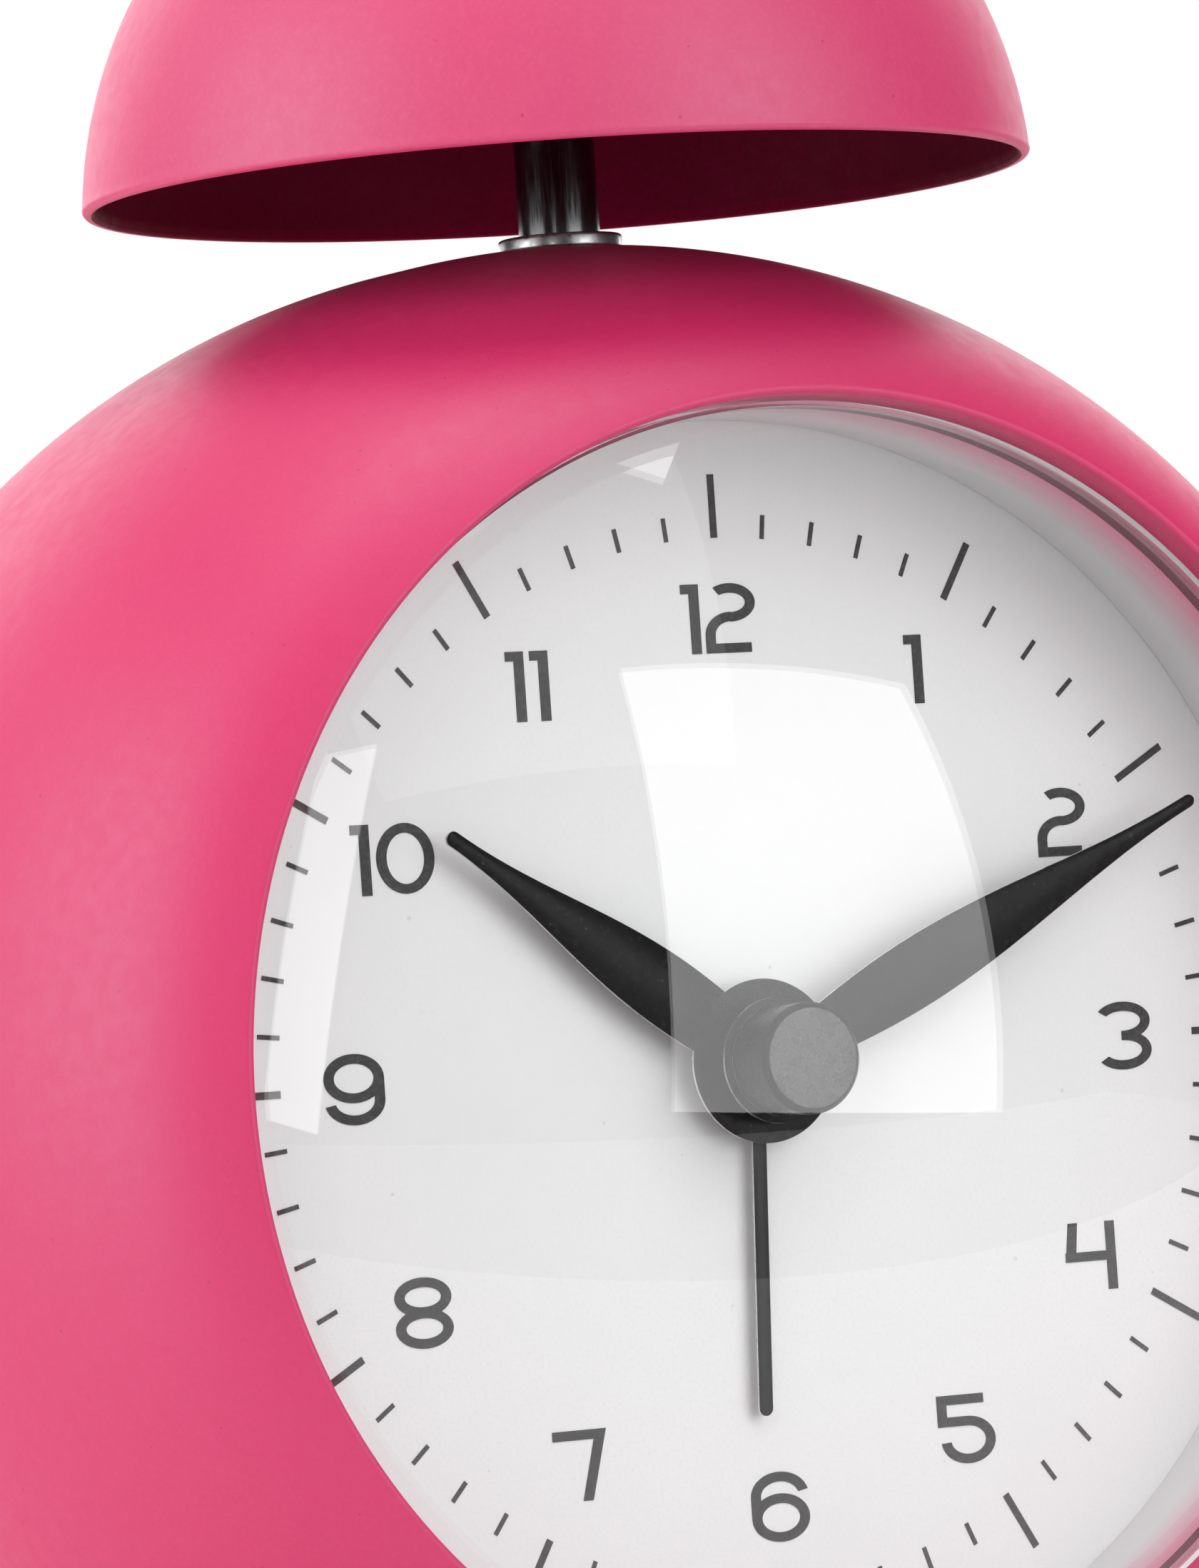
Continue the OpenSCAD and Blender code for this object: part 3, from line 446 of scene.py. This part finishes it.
def lathe(outline, place, segments=256):
    """Closed solid turned from a closed outline of (radius, reach) points."""
    made = bmesh.new()
    rings = []
    for r, reach in outline:
        if r < ON_AXIS:
            rings.append([made.verts.new(place(0, reach, 0))])
        else:
            rings.append([made.verts.new(place(r, reach, 2 * pi * k / segments))
                          for k in range(segments)])
    for i, ring in enumerate(rings):
        after = rings[(i + 1) % len(rings)]
        if len(ring) == 1 and len(after) == 1:
            continue
        for k in range(segments):
            n = (k + 1) % segments
            corners = [ring[k % len(ring)], ring[n % len(ring)],
                       after[n % len(after)], after[k % len(after)]]
            made.faces.new(dict.fromkeys(corners))
    bmesh.ops.recalc_face_normals(made, faces=made.faces)
    if made.calc_volume(signed=True) < 0:
        bmesh.ops.reverse_faces(made, faces=made.faces)
    return made


def rounded(outline, radius, steps=4):
    """Closed outline with its corners rounded, for corners off the axis."""
    points = [Vector(p) for p in outline]
    out = []
    for i, here in enumerate(points):
        before = points[i - 1] - here
        after = points[(i + 1) % len(points)] - here
        if here.x < ON_AXIS:
            out.append(tuple(here))
            continue
        cut = min(radius, before.length * 0.45, after.length * 0.45)
        start = here + before.normalized() * cut
        end = here + after.normalized() * cut
        for k in range(steps + 1):
            t = k / steps
            out.append(tuple(start * (1 - t) ** 2 + here * 2 * t * (1 - t) + end * t ** 2))
    return out


def mesh_of(made, name, sharp=35):
    """Turns a bmesh into a smooth-shaded mesh with sharp edges past an angle."""
    mesh = bpy.data.meshes.new(name)
    made.to_mesh(mesh)
    made.free()
    mesh.shade_smooth()
    mesh.set_sharp_from_angle(angle=radians(sharp))
    return mesh


def combined(base, others, operation):
    """The bmesh base with others joined to it ("UNION") or cut from it ("DIFFERENCE")."""
    scratch = [bpy.data.objects.new("scratch", mesh_of(made, "scratch"))
               for made in [base, *others]]
    for obj in scratch:
        bpy.context.scene.collection.objects.link(obj)
    for other in scratch[1:]:
        modifier = scratch[0].modifiers.new("cut", "BOOLEAN")
        modifier.operation = operation
        modifier.solver = "EXACT"
        modifier.object = other
    graph = bpy.context.evaluated_depsgraph_get()
    result = bmesh.new()
    result.from_mesh(scratch[0].evaluated_get(graph).to_mesh())
    for obj in scratch:
        mesh = obj.data
        bpy.data.objects.remove(obj)
        bpy.data.meshes.remove(mesh)
    return result


def second_look(made, chosen):
    """Gives the chosen faces of a bmesh the second material of its piece."""
    made.normal_update()
    for face in made.faces:
        face.material_index = 1 if chosen(face) else 0
    return made


def piece(name, made, node, sharp=35, second=None):
    """Shows a mesh in place of a CAD node: it rides on the node's body and takes its slot."""
    slot = SLOT_OF[node]
    obj = bpy.data.objects.new(name, mesh_of(made, name, sharp))
    bpy.context.scene.collection.objects.link(obj)
    obj.data.materials.append(SKIN[slot])
    if second:
        obj.data.materials.append(second)
    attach(obj, BODY_OF[node])
    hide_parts(node)
    return obj


# ---- Case ----

def flattened(made, level, keep):
    """Presses the part of a closed skin that lies below a level flat onto it."""
    geometry = made.verts[:] + made.edges[:] + made.faces[:]
    bmesh.ops.bisect_plane(made, geom=geometry, plane_co=(0, 0, level), plane_no=(0, 0, 1))
    for v in made.verts:
        if v.co.z < level and keep(v.co):
            v.co.z = level


def make_case():
    """Pressed ball that turns in softly to the dial opening, with a rolled lip behind and a
    flat under it."""
    edge_c = Vector((APERTURE_R + EDGE_R, EDGE_FWD - BAND_HALF))
    lean = acos((edge_c.length_squared + (CASE_R - BROW_R) ** 2 - (BROW_R - EDGE_R) ** 2)
                / (2 * edge_c.length * (CASE_R - BROW_R)))
    brow_from = atan2(edge_c.x, edge_c.y) + lean
    brow_c = (CASE_R - BROW_R) * Vector((sin(brow_from), cos(brow_from)))
    brow_to = degrees(atan2(edge_c.x - brow_c.x, edge_c.y - brow_c.y))
    brow_from = degrees(brow_from)
    rear_c = Vector((REAR_OPEN_R + LIP_R, 0))
    rear_c.y = -BAND_HALF - sqrt((CASE_R - LIP_R) ** 2 - rear_c.x ** 2)
    rear_angle = degrees(asin(rear_c.x / (CASE_R - LIP_R)))
    inner_r = CASE_R - CASE_WALL
    wall_out = APERTURE_R + CASE_WALL
    meet = degrees(acos(wall_out / inner_r))
    inner_rear = degrees(acos((-rear_c.y - LIP_R - BAND_HALF) / inner_r))
    outline = arc(brow_c.x, brow_c.y + BAND_HALF, BROW_R, 90 - brow_to, 90 - brow_from, 30)
    outline += arc(0, BAND_HALF, CASE_R, 90 - brow_from, 0, 60)[1:]
    outline += arc(0, -BAND_HALF, CASE_R, 0, rear_angle - 90, 36)
    outline += arc(rear_c.x, rear_c.y, LIP_R, rear_angle - 90, -180, 12)[1:]
    outline += [(REAR_OPEN_R, rear_c.y - LIP_R * 0.9), (rear_c.x, rear_c.y + LIP_R)]
    outline += arc(0, -BAND_HALF, inner_r, inner_rear - 90, 0, 24)
    outline += arc(0, BAND_HALF, inner_r, 0, meet - 3, 30)
    wall_top = EDGE_FWD - 2.5 * MM
    outline += [(wall_out, wall_top), (wall_out, LENS_SEAT), (APERTURE_R, LENS_SEAT)]
    outline += arc(edge_c.x, EDGE_FWD, EDGE_R, 180, 90 - brow_to, 12)[:-1]
    made = lathe(outline, facing(), 320)
    outer = (CASE_R + inner_r) / 2

    def away(co):
        y = abs(co.y) - min(abs(co.y), BAND_HALF)
        return sqrt(co.x ** 2 + y ** 2 + (co.z - CENTRE_Z) ** 2)

    floor_out = high("base_pad").z
    flattened(made, floor_out + CASE_WALL, lambda co: away(co) < outer)
    flattened(made, floor_out, lambda co: away(co) > outer)
    hole = high("bell_post").x + 0.1 * MM
    drill_from = high("case_shell").z - 5 * MM
    drill_to = high("case_shell").z + 5 * MM
    outline = [(0, drill_from), (hole, drill_from), (hole, drill_to), (0, drill_to)]
    return combined(made, [lathe(outline, standing(), 64)], "DIFFERENCE")


piece("case_body", make_case(), "case_shell", 40)


def make_pad():
    """Rubber foot with a rounded rim and two grip rings on the table side."""
    r = high("base_pad").x
    top = high("base_pad").z
    groove = 0.3 * MM
    crest = 0.7 * MM
    skirt = 1 * MM
    outline = [(0, groove)]
    for ring in (5 * MM, 10 * MM):
        outline += [(ring - skirt, groove), (ring - crest, 0), (ring + crest, 0),
                    (ring + skirt, groove)]
    outline += [(r - 2 * MM, groove), (r - 1.7 * MM, 0), (r, 0), (r, top), (0, top)]
    return lathe(rounded(outline, 0.2 * MM), standing(0, 0), 128)


piece("base_foot", make_pad(), "base_pad", 50)


# ---- Bell and its post ----

def make_bell():
    """Spun half-ball bell with a rounded rim."""
    lo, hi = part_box("bell")
    rim_r = (hi.x - lo.x) / 2
    rise = hi.z - lo.z
    r = (rim_r ** 2 + rise ** 2) / (2 * rise)
    centre = hi.z - r
    edge = degrees(asin((lo.z - centre) / r))
    edge_c = (rim_r - BELL_WALL / 2, lo.z + BELL_WALL / 2)
    outline = [(0, hi.z)]
    outline += arc(0, centre, r, 89.2, edge + 1, 90)
    outline += arc(edge_c[0], edge_c[1], BELL_WALL / 2, 0, -180, 10)
    outline += arc(0, centre, r - BELL_WALL, edge + 1, 89.2, 90)
    outline += [(0, hi.z - BELL_WALL)]
    middle = Vector((0, POST_Y, centre))
    inside = r - 0.7 * BELL_WALL
    # The inner faces take the second look, a painted shade.
    return second_look(lathe(outline, standing(), 320),
                       lambda face: (face.calc_center_median() - middle).length < inside)


piece("bell_dome", make_bell(), "bell", second=BELL_INSIDE_PAINTED_SHADE)


def make_turned(node, radius, corner, segments=96):
    """Plain turned rod or collar with eased corners, between a node's own ends."""
    lo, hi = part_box(node)
    r = (hi.x - lo.x) / 2
    outline = [(radius, lo.z), (r, lo.z), (r, hi.z), (radius, hi.z)]
    return lathe(rounded(outline, corner), standing(), segments)


def make_post():
    """Plated post: thick below the shoulder, thinner where it carries the striker and bell."""
    lo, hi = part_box("bell_post")
    r = (hi.x - lo.x) / 2
    shoulder = low("striker_plate").z
    outline = [(POST_BORE_R, lo.z), (r, lo.z), (r, shoulder), (POST_NECK_R, shoulder),
               (POST_NECK_R, hi.z), (POST_BORE_R, hi.z)]
    return lathe(rounded(outline, 0.2 * MM), standing(), 96)


piece("bell_post_rod", make_post(), "bell_post")
piece("post_collar_ring", make_turned("post_collar", high("bell_post").x, 0.25 * MM),
      "post_collar")


# ---- Lens, ring and dial ----

def make_lens():
    """Domed clear lens on a short skirt, with a flange round the skirt's foot."""
    lo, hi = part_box("lens")
    flange_r = (hi.x - lo.x) / 2
    apex = -lo.y
    edge_r = APERTURE_R - LENS_GAP
    rise = apex - DOME_BASE
    r = (edge_r ** 2 + rise ** 2) / (2 * rise)
    centre = apex - r
    start = degrees(asin((DOME_BASE - centre) / r))
    skirt_in = edge_r - SKIRT_T
    inner_r = r - DOME_T
    inner_start = degrees(acos(skirt_in / inner_r))
    foot = LENS_SEAT - SKIRT_T
    outline = [(0, apex)]
    outline += arc(0, centre, r, 89.5, start, 60)
    outline += [(edge_r, LENS_SEAT)]
    outline += rounded([(flange_r, LENS_SEAT), (flange_r, foot)], 0.2 * MM)
    outline += [(skirt_in, foot)]
    outline += arc(0, centre, inner_r, inner_start, 89.5, 60)
    outline += [(0, apex - DOME_T)]
    return lathe(outline, facing(), 256)


piece("lens_crystal", make_lens(), "lens", 25)


def make_ring():
    """Satin ring that flares a little from the dial to the lens."""
    lo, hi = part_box("dial_ring")
    r = (hi.x - lo.x) / 2
    outline = [(RING_BASE_R, -hi.y), (r, -hi.y), (r, -lo.y), (RING_TOP_R, -lo.y)]
    return lathe(rounded(outline, 0.15 * MM), facing(), 256)


piece("dial_bezel", make_ring(), "dial_ring")


# ---- Hands ----

def hand_place(angle):
    """Maps a hand's own (across, along, forward) to the frame, at a clock angle."""
    turn = radians(angle)

    def place(across, along, forward):
        x = across * cos(turn) + along * sin(turn)
        z = along * cos(turn) - across * sin(turn)
        return Vector((x, -forward, CENTRE_Z + z))
    return place


def make_leaf(place, base, root, wide_at, length, halves, edge_t, crown):
    """Leaf-shaped arm: flat underneath, crowned on top, with a round tip. Its half widths
    are those at the root, at the widest place and at the tip."""
    half_root, half_wide, half_tip = halves
    end = length - half_tip
    reaches = [root + (end - root) * i / 48 for i in range(49)]
    reaches += [end + half_tip * sin(radians(a)) for a in (20, 40, 58, 72, 82, 88)]
    columns = 12
    made = bmesh.new()
    tops = []
    unders = []
    for reach in reaches:
        if reach < wide_at:
            swing = sin(pi / 2 * (reach - root) / (wide_at - root))
            half = half_root + (half_wide - half_root) * swing
        elif reach <= end:
            swing = (1 + cos(pi * (reach - wide_at) / (end - wide_at))) / 2
            half = half_tip + (half_wide - half_tip) * swing
        else:
            half = sqrt(max(half_tip ** 2 - (reach - end) ** 2, 1e-12))
        grow = min(1, max(0, (reach - root) / (wide_at - root)))
        lift = crown * (half / half_wide) ** 0.6 * grow * grow * (3 - 2 * grow)
        top = []
        under = []
        for j in range(-columns, columns + 1):
            across = half * sin(pi / 2 * j / columns)
            rise = edge_t + lift * (1 - abs(across / half) ** 2.4)
            top.append(made.verts.new(place(across, reach, base + rise)))
            under.append(made.verts.new(place(across, reach, base)))
        tops.append(top)
        unders.append(under)
    for i in range(len(reaches) - 1):
        for j in range(2 * columns):
            made.faces.new((tops[i][j], tops[i][j + 1], tops[i + 1][j + 1], tops[i + 1][j]))
            made.faces.new((unders[i][j], unders[i + 1][j],
                            unders[i + 1][j + 1], unders[i][j + 1]))
        for j in (0, 2 * columns):
            made.faces.new((tops[i][j], tops[i + 1][j], unders[i + 1][j], unders[i][j]))
    for i in (0, len(reaches) - 1):
        for j in range(2 * columns):
            made.faces.new((tops[i][j], unders[i][j], unders[i][j + 1], tops[i][j + 1]))
    bmesh.ops.recalc_face_normals(made, faces=made.faces)
    return made


def make_hub(base, bore, r, thick):
    outline = [(bore, base), (r, base), (r, base + thick), (bore, base + thick)]
    return lathe(rounded(outline, 0.06 * MM), facing(), 128)


def hand_angle(node):
    """Clock angle of a hand, from the far end of its CAD outline."""
    points = [v.co for v in frame["nodes"][node].data.vertices]
    tip = max(points, key=lambda co: co.x ** 2 + (co.z - CENTRE_Z) ** 2)
    return degrees(atan2(tip.x, tip.z - CENTRE_Z))


def reach_of(node):
    points = [v.co for v in frame["nodes"][node].data.vertices]
    return max(sqrt(co.x ** 2 + (co.z - CENTRE_Z) ** 2) for co in points)


HAND_ROOT = 3 * MM


def make_hand(node, hub_r, bore, wide_at, halves, edge_t, crown):
    """Hand with a flat hub and a crowned arm."""
    base = -high(node).y
    thick = high(node).y - low(node).y
    place = hand_place(hand_angle(node))
    arm = make_leaf(place, base, HAND_ROOT, wide_at, reach_of(node), halves, edge_t, crown)
    made = combined(make_hub(base, bore, hub_r, thick * 0.75), [arm], "UNION")
    return second_look(made, lambda face: abs(face.normal.y) < 0.5)


hour = make_hand("hour_hand", hub_r=5.3 * MM, bore=1.95 * MM, wide_at=8 * MM,
                 halves=(2.1 * MM, 2.35 * MM, 0.5 * MM), edge_t=0.2 * MM, crown=0.4 * MM)
minute = make_hand("minute_hand", hub_r=4.05 * MM, bore=ARBOR_R, wide_at=12 * MM,
                   halves=(1.6 * MM, 2.25 * MM, 0.42 * MM), edge_t=0.2 * MM, crown=0.4 * MM)
alarm = make_hand("alarm_hand", hub_r=4.3 * MM, bore=2.6 * MM, wide_at=8 * MM,
                  halves=(0.5 * MM, 0.5 * MM, 0.5 * MM), edge_t=0.16 * MM, crown=0.1 * MM)
piece("hour_hand_leaf", hour, "hour_hand", second=CUT_EDGE)
piece("minute_hand_leaf", minute, "minute_hand", second=CUT_EDGE)
piece("alarm_hand_bar", alarm, "alarm_hand", second=CUT_EDGE)


def make_cap():
    """Turned cap with a chamfered edge; its flat front face takes a paler metal as painted
    light, and its thin foot a bright metal as a painted highlight.
    """
    lo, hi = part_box("hand_cap")
    r = (hi.x - lo.x) / 2
    top = -lo.y
    back = -hi.y
    bore_end = back + 1.5 * MM
    foot = back + 0.15 * MM
    outline = [(0, top), (r - 0.4 * MM, top), (r - 0.28 * MM, top - 0.06 * MM),
               (r - 0.06 * MM, top - 0.28 * MM), (r, top - 0.4 * MM), (r - 0.1 * MM, foot),
               (r, foot), (r, back), (ARBOR_R, back), (ARBOR_R, bore_end), (0, bore_end)]
    made = lathe(rounded(outline, 0.04 * MM, 3), facing(), 128)

    # The foot's side faces take a painted highlight.
    second_look(made, lambda face: (face.calc_center_median().y > -foot
                                    and abs(face.normal.y) < 0.9))
    # The flat front face takes a paler metal as painted light.
    for face in made.faces:
        if face.calc_center_median().y < 0.01 * MM - top:
            face.material_index = 2
    return made


cap = piece("hand_cap_turned", make_cap(), "hand_cap", second=CAP_FOOT_PAINTED_HIGHLIGHT)
cap.data.materials.append(CAP_FACE_PAINTED_LIGHT)


# ---- Back ----

def knob_axis(node):
    lo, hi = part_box(node)
    return (lo.x + hi.x) / 2, (lo.z + hi.z) / 2


KNOB_TEETH = 20
KNOB_GRIP = 0.8         # of the radius, where the grooves begin
KNOB_GROOVE = 0.07      # of the radius


def make_knob(node):
    """Grooved setting knob with a raised ring on its end. Its bore takes the setting shaft."""
    lo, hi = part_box(node)
    r = (hi.z - lo.z) / 2
    x, z = knob_axis(node)
    back = -hi.y
    front = -lo.y
    bore_end = back + 3 * MM
    dish = back + 0.5 * MM
    outline = [(SET_SHAFT_R, front), (r, front), (r, back + 1.5 * MM),
               (r - 0.7 * MM, back + 1.1 * MM), (3.4 * MM, back + 0.9 * MM), (3.2 * MM, back),
               (2.4 * MM, back), (2.2 * MM, dish), (0, dish), (0, bore_end),
               (SET_SHAFT_R, bore_end)]
    made = lathe(rounded(outline, 0.25 * MM), facing(x, z), 240)
    for v in made.verts:
        away = Vector((v.co.x - x, v.co.z - z))
        if away.length > KNOB_GRIP * r and -v.co.y > back + 1.2 * MM:
            wave = max(0, cos(KNOB_TEETH * atan2(away.x, away.y))) ** 2
            fade = min(1, (away.length / r - KNOB_GRIP) / 0.15)
            keep = 1 - KNOB_GROOVE * wave * fade
            v.co.x = x + away.x * keep
            v.co.z = z + away.y * keep
    return made


piece("time_knob_grip", make_knob("time_set_knob"), "time_set_knob")
piece("alarm_knob_grip", make_knob("alarm_set_knob"), "alarm_set_knob")


# ---- CAD nodes that stay, in their finishes ----

def dress_nodes():
    for name, obj in frame["nodes"].items():
        if obj.hide_render:
            continue
        obj.data.materials.clear()
        obj.data.materials.append(SKIN[SLOT_OF[name]])


dress_nodes()


# ---- Floor, backdrop and lamps ----

FLOOR_WIDTH = 0.96
FLOOR_BACK = 0.6
FLOOR_FRONT = -0.4
TABLE_EDGE = -0.135
PANEL_FORWARD = 0.527
ROOM_GLOW = 0.07


def make_floor():
    """One pale tabletop in two sheets. The lens mirrors the rear one only, so that the edge
    of a table shows in it."""
    skin = floor_look()
    sheets = (("floor", TABLE_EDGE, FLOOR_BACK), ("floor_front", FLOOR_FRONT, TABLE_EDGE))
    for name, near, far in sheets:
        made = bmesh.new()
        bmesh.ops.create_grid(made, x_segments=8, y_segments=8, size=0.5)
        bmesh.ops.scale(made, vec=(FLOOR_WIDTH, far - near, 1), verts=made.verts)
        bmesh.ops.translate(made, vec=(0, (far + near) / 2, 0), verts=made.verts)
        floor = bpy.data.objects.new(name, mesh_of(made, name))
        floor.data.materials.append(skin)
        floor.visible_glossy = name == "floor"
        bpy.context.scene.collection.objects.link(floor)


def add_lamp(name, place, turn, width, height, brightness, mirrored=True):
    """Rectangular lamp. Brightness is relative to display white."""
    data = bpy.data.lights.new(name, "AREA")
    data.shape = "RECTANGLE"
    data.size = width
    data.size_y = height
    data.energy = brightness * pi * width * height
    lamp = bpy.data.objects.new(name, data)
    lamp.location = place
    lamp.rotation_mode = "QUATERNION"
    lamp.rotation_quaternion = turn
    lamp.visible_camera = False
    lamp.visible_glossy = mirrored
    bpy.context.scene.collection.objects.link(lamp)


def panel(name, across, up, width, height, lean, brightness):
    """Lamp upright in front of the dial, its top leaning so many degrees towards +X."""
    place = CENTRE + Vector((across, -PANEL_FORWARD, up))
    turn = Quaternion((0, 1, 0), radians(lean)) @ Quaternion((1, 0, 0), pi / 2)
    add_lamp(name, place, turn, width, height, brightness)


def softbox(name, azimuth, elevation, distance, width, height, brightness, mirrored=True):
    """Lamp that faces the clock from a distance."""
    place = CENTRE + distance * direction(azimuth, elevation)
    turn = (CENTRE - place).to_track_quat("-Z", "Y")
    add_lamp(name, place, turn, width, height, brightness, mirrored)


def make_world():
    """White behind the object, and dimmer all round as the studio's bounce light."""
    world = bpy.data.worlds.new("studio")
    world.use_nodes = True
    tree = world.node_tree
    room = tree.nodes["Background"]
    room.inputs["Color"].default_value = (1, 1, 1, 1)
    room.inputs["Strength"].default_value = ROOM_GLOW
    white = tree.nodes.new("ShaderNodeBackground")
    white.inputs["Color"].default_value = (1, 1, 1, 1)
    white.inputs["Strength"].default_value = 1.0
    path = tree.nodes.new("ShaderNodeLightPath")
    mix = tree.nodes.new("ShaderNodeMixShader")
    tree.links.new(path.outputs["Is Camera Ray"], mix.inputs["Fac"])
    tree.links.new(room.outputs["Background"], mix.inputs[1])
    tree.links.new(white.outputs["Background"], mix.inputs[2])
    tree.links.new(mix.outputs["Shader"], tree.nodes["World Output"].inputs["Surface"])
    bpy.context.scene.world = world


make_floor()
make_world()
panel("key_softbox", 0.190, 0.204, 0.405, 0.522, 4, 2.5)
panel("strip_softbox", -0.441, 0.215, 0.10, 0.53, 13, 2.5)
softbox("front_fill", -10, 52, 0.7, 0.5, 0.5, 0.85, mirrored=False)
softbox("top_bank", -30, 86, 0.55, 0.5, 0.26, 3.1)
softbox("left_bank", -96, 18, 0.6, 0.5, 0.6, 2.7)
softbox("right_bank", 130, 25, 0.7, 0.5, 0.6, 2.1)
softbox("back_bank", 180, 25, 0.8, 0.7, 0.6, 2.0)

bpy.context.scene.view_settings.view_transform = "Standard"
bpy.context.scene.view_settings.look = "None"
